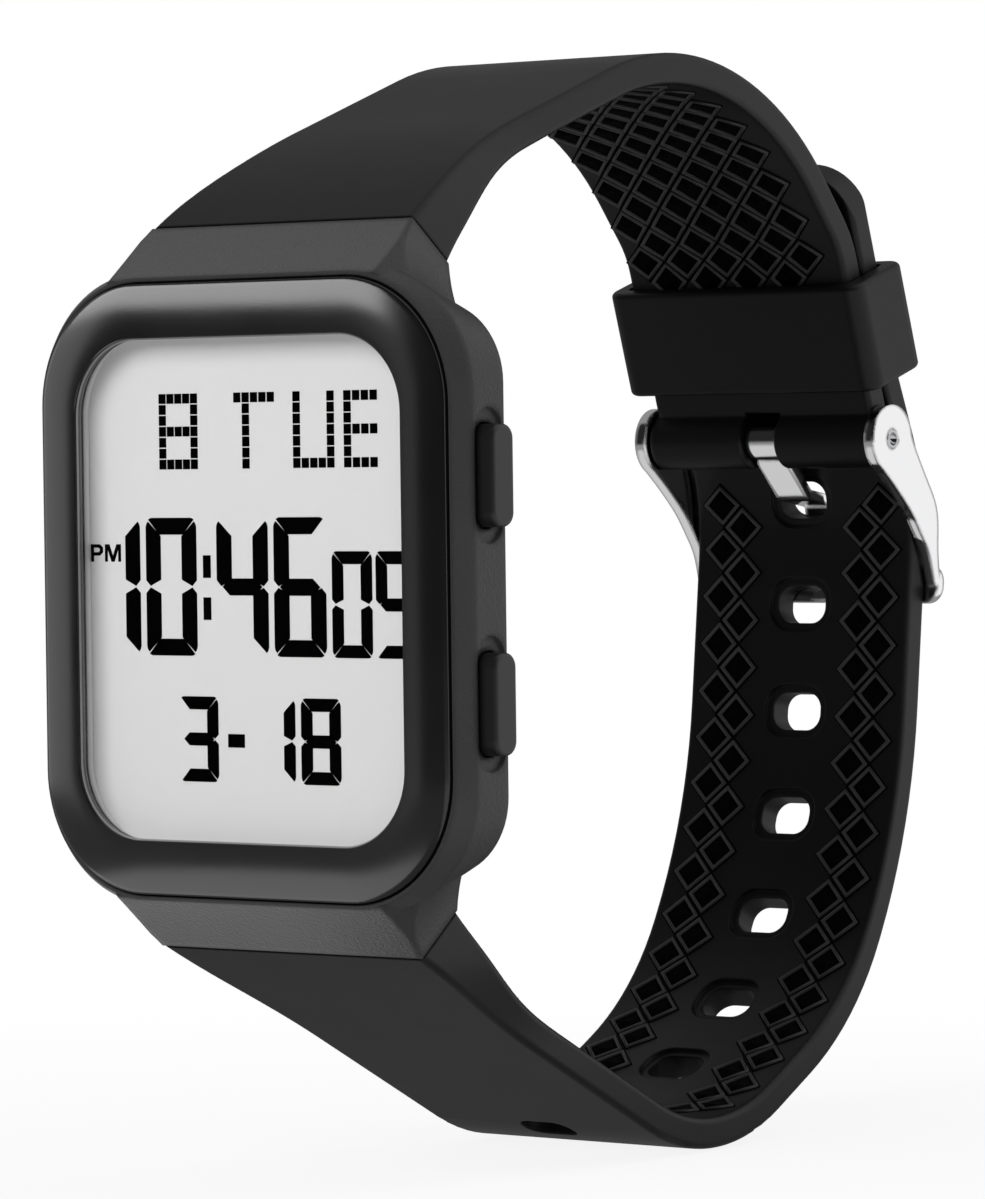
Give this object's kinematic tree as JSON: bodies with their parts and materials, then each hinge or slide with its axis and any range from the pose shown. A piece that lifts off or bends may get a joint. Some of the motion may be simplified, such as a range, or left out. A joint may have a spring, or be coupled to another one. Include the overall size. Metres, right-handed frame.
{
  "type": "digital watch",
  "caption": "Digital wristwatch with a rounded rectangular case, flat display window, side push buttons and a rubber strap closed by a pin buckle and a wide keeper.",
  "frame": {"origin": "centre of the case back's flat outer face", "axes": "-Y out of the display towards the eye, +Y into the wrist, +Z towards twelve o'clock, +X towards three o'clock"},
  "size_m": [0.0394, 0.0722, 0.0797],
  "materials": {
    "case_resin": "fine moulded grain, semi-matt",
    "bezel_resin": "fine grain with a satin gloss",
    "pusher_resin": "smooth, satin",
    "strap_rubber": "matt, with a raised diamond relief",
    "seal_rubber": "smooth",
    "window_glass": "clear, polished",
    "display_glass": "pale grey-green reflective display",
    "reflector_film": "white diffuser",
    "module_plastic": "moulded",
    "board_laminate": "solder mask",
    "contact_brass": "bare",
    "steel": "satin",
    "buckle_chrome": "mirror polish"
  },
  "bodies": {
    "watch": {"case_middle": "case_resin", "bezel": "bezel_resin", "crystal": "window_glass", "case_back": "steel", "strap_upper": "strap_rubber", "strap_lower": "strap_rubber", "crystal_gasket": "seal_rubber", "lcd_panel": "display_glass", "reflector_panel": "reflector_film", "zebra_connectors": "seal_rubber", "module_frame": "module_plastic", "circuit_board": "board_laminate", "controller_chip": "module_plastic", "quartz_crystal": "steel", "battery_holder": "module_plastic", "coin_cell": "steel", "battery_clip": "steel", "module_screws": "steel", "switch_springs": "contact_brass", "buzzer_spring": "steel", "piezo_disc": "contact_brass", "back_gasket": "seal_rubber", "back_screws": "steel", "pusher_seals": "seal_rubber", "spring_bar_upper": "steel", "spring_bar_lower": "steel", "pusher_spring_upper_right": "steel", "pusher_spring_lower_right": "steel"},
    "keeper": {"keeper": "strap_rubber"},
    "buckle": {"buckle_frame": "buckle_chrome", "buckle_bar": "steel"},
    "tongue": {"buckle_tongue": "buckle_chrome"},
    "pusher_upper_right": {"pusher_upper_right": "pusher_resin", "pusher_clip_upper_right": "steel"},
    "pusher_lower_right": {"pusher_lower_right": "pusher_resin", "pusher_clip_lower_right": "steel"}
  },
  "joints": [
    {"name": "keeper_slide", "type": "slide", "parent": "watch", "child": "keeper", "axis": [0, 0.309, -0.9511], "range_m": [-0.0005, 0.0015]},
    {"name": "buckle_swing", "type": "hinge", "parent": "watch", "child": "buckle", "pos_m": [0, 0.05435, 0.00982], "axis": [1, 0, 0], "range_deg": [0, 5]},
    {"name": "tongue_swing", "type": "hinge", "parent": "buckle", "child": "tongue", "pos_m": [0, 0.05435, 0.00982], "axis": [1, 0, 0], "range_deg": [0, 4]},
    {"name": "press_upper_right", "type": "slide", "parent": "watch", "child": "pusher_upper_right", "axis": [-1, 0, 0], "range_m": [0, 0.0006], "stiffness_N_per_m": 400, "springref_m": -0.0006, "deforming": ["pusher_spring_upper_right"]},
    {"name": "press_lower_right", "type": "slide", "parent": "watch", "child": "pusher_lower_right", "axis": [-1, 0, 0], "range_m": [0, 0.0006], "stiffness_N_per_m": 400, "springref_m": -0.0006, "deforming": ["pusher_spring_lower_right"]}
  ]
}
